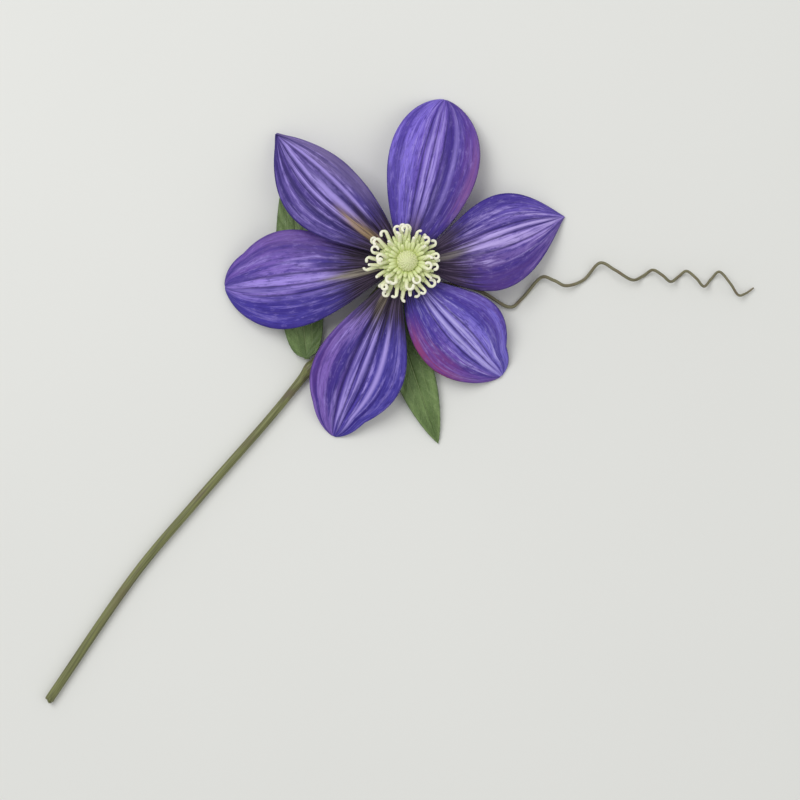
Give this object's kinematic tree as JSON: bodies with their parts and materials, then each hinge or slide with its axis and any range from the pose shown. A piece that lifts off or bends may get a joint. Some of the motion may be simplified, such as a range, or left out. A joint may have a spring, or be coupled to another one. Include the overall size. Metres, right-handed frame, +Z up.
{
  "type": "clematis flower",
  "caption": "Open deep violet clematis bloom with pale stamens, lying face up with its bent stem, leaves and a curly tendril.",
  "frame": {"origin": "on the surface that the flower lies on, under the middle of its bounding box", "axes": "+Z up, out of the open face of the bloom; +X from the cut end of the stem's side towards the tip of the tendril; +Y from the cut end of the stem towards the top sepal"},
  "size_m": [0.1941, 0.1651, 0.0179],
  "materials": {
    "sepal": "soft satin, deep violet with paler veins",
    "stamen": "matte cream",
    "pistil": "matte pale green",
    "receptacle": "matte",
    "stem": "satin olive green",
    "leaf": "satin mid green with pale veins",
    "tendril": "satin olive brown"
  },
  "bodies": {
    "root": {"stem": "stem", "receptacle": "receptacle", "pistils": "pistil", "sepal_top": "sepal", "sepal_upper_right": "sepal", "sepal_lower_right": "sepal", "sepal_bottom": "sepal", "sepal_left": "sepal", "sepal_upper_left": "sepal", "stamen_outer_01": "stamen", "stamen_outer_02": "stamen", "stamen_outer_03": "stamen", "stamen_outer_04": "stamen", "stamen_outer_05": "stamen", "stamen_outer_06": "stamen", "stamen_outer_07": "stamen", "stamen_outer_08": "stamen", "stamen_outer_09": "stamen", "stamen_outer_10": "stamen", "stamen_outer_11": "stamen", "stamen_outer_12": "stamen", "stamen_outer_13": "stamen", "stamen_outer_14": "stamen", "stamen_outer_15": "stamen", "stamen_middle_01": "stamen", "stamen_middle_02": "stamen", "stamen_middle_03": "stamen", "stamen_middle_04": "stamen", "stamen_middle_05": "stamen", "stamen_middle_06": "stamen", "stamen_middle_07": "stamen", "stamen_middle_08": "stamen", "stamen_middle_09": "stamen", "stamen_middle_10": "stamen", "stamen_middle_11": "stamen", "stamen_middle_12": "stamen", "stamen_middle_13": "stamen", "stamen_middle_14": "stamen", "stamen_middle_15": "stamen", "stamen_inner_01": "stamen", "stamen_inner_02": "stamen", "stamen_inner_03": "stamen", "stamen_inner_04": "stamen", "stamen_inner_05": "stamen", "stamen_inner_06": "stamen", "stamen_inner_07": "stamen", "stamen_inner_08": "stamen", "stamen_inner_09": "stamen", "stamen_inner_10": "stamen", "stamen_inner_11": "stamen", "stamen_inner_12": "stamen", "leaf_left": "leaf", "leaf_lower": "leaf", "tendril": "tendril"}
  },
  "joints": []
}
